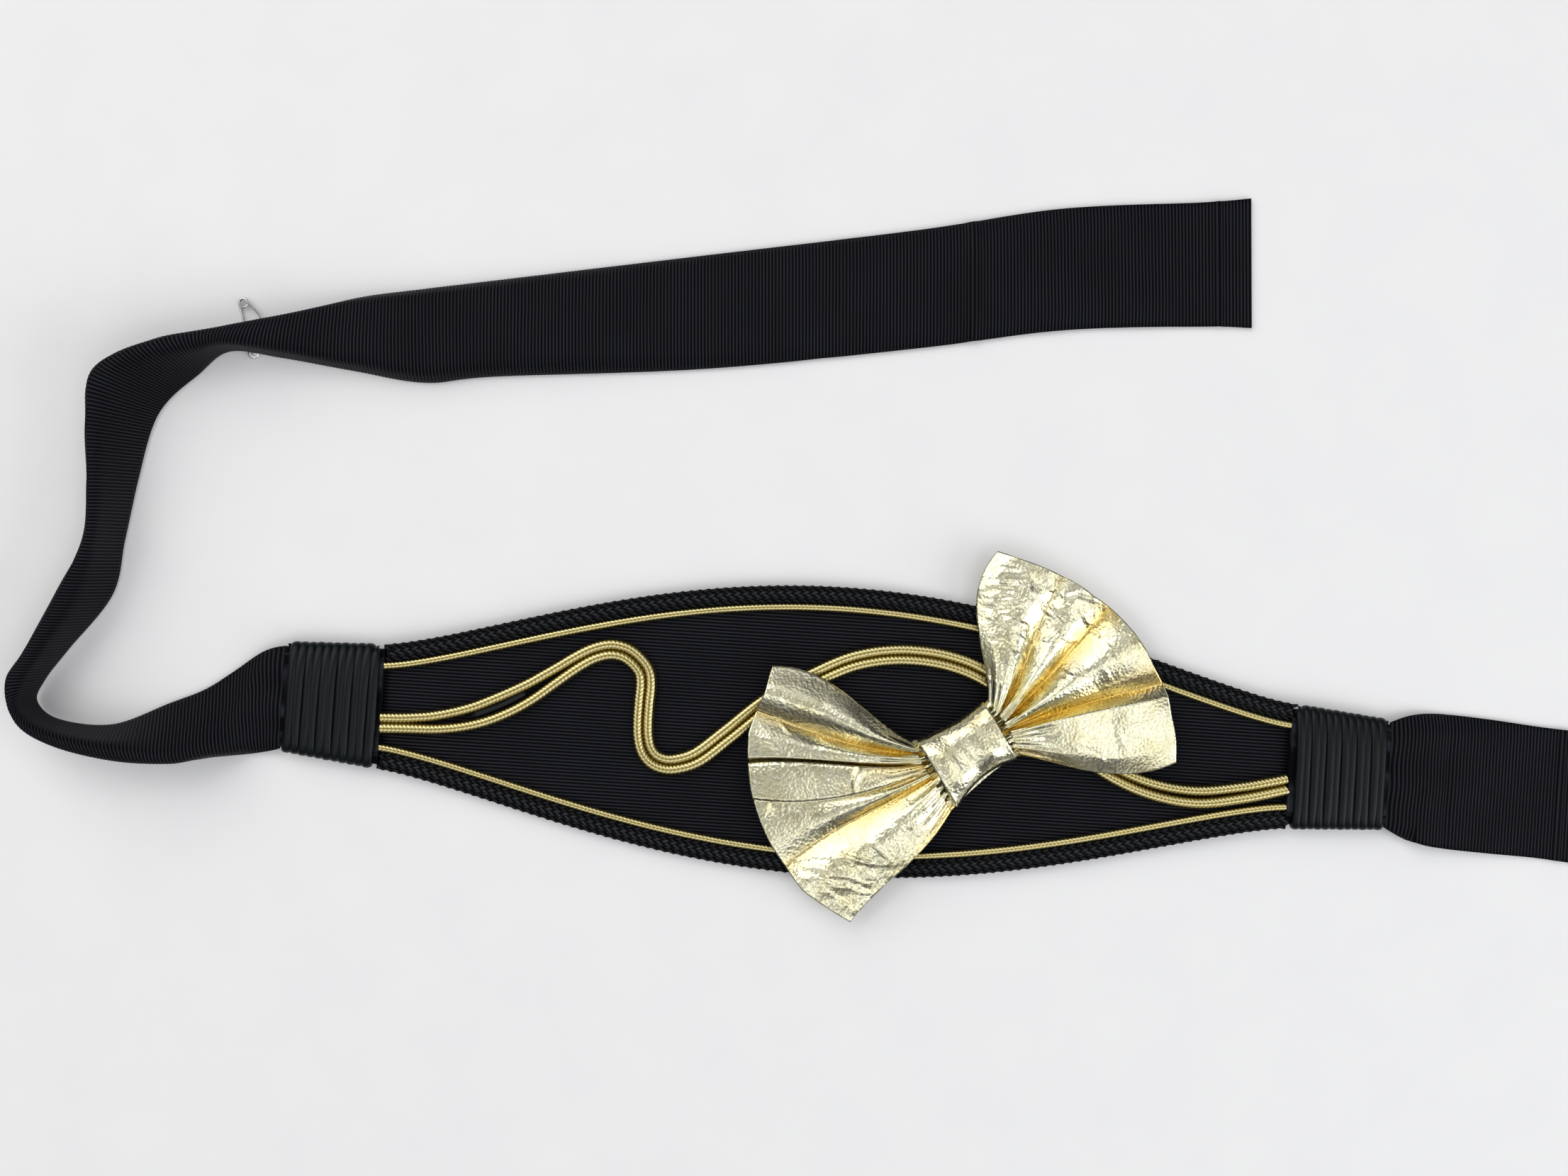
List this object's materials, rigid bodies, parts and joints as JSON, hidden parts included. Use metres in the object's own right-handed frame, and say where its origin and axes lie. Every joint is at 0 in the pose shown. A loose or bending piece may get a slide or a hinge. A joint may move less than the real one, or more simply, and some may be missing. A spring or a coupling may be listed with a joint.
{
  "type": "bow belt",
  "caption": "Wide lens-shaped ribbon belt laid flat, with plaited edges, metallic cords in a wave, a pleated leather bow, cord-wrapped necks and long flat ribbon straps.",
  "frame": {"origin": "middle of the front panel's back face, which lies on the surface under the belt", "axes": "+X along the panel towards the short strap, +Y towards the panel's upper edge, +Z out of the panel's front"},
  "size_m": [0.5988, 0.2867, 0.0286],
  "materials": {
    "grosgrain": "black ribbed grosgrain ribbon with a low sheen",
    "plait": "black plaited braid with grey highlights on its strands",
    "satin_cord": "black satin cord with a blue-green sheen",
    "gold_cord": "pale gold metallic cord, finely plaited",
    "gold_leather": "foiled pale gold leather, pebbled and creased, deep yellow in its folds",
    "pin_steel": "nickelled steel wire and sheet"
  },
  "bodies": {
    "root": {"front_panel": "grosgrain", "edge_braid_top": "plait", "edge_braid_bottom": "plait", "border_cord_top": "gold_cord", "border_cord_bottom": "gold_cord", "wave_cord_upper": "gold_cord", "wave_cord_lower": "gold_cord", "wave_core_cord": "plait", "wrap_left": "satin_cord", "wrap_right": "satin_cord", "strap_left": "grosgrain", "strap_right": "grosgrain", "bow": "gold_leather", "bow_knot": "gold_leather", "safety_pin_wire": "pin_steel", "safety_pin_cap": "pin_steel"}
  },
  "joints": []
}
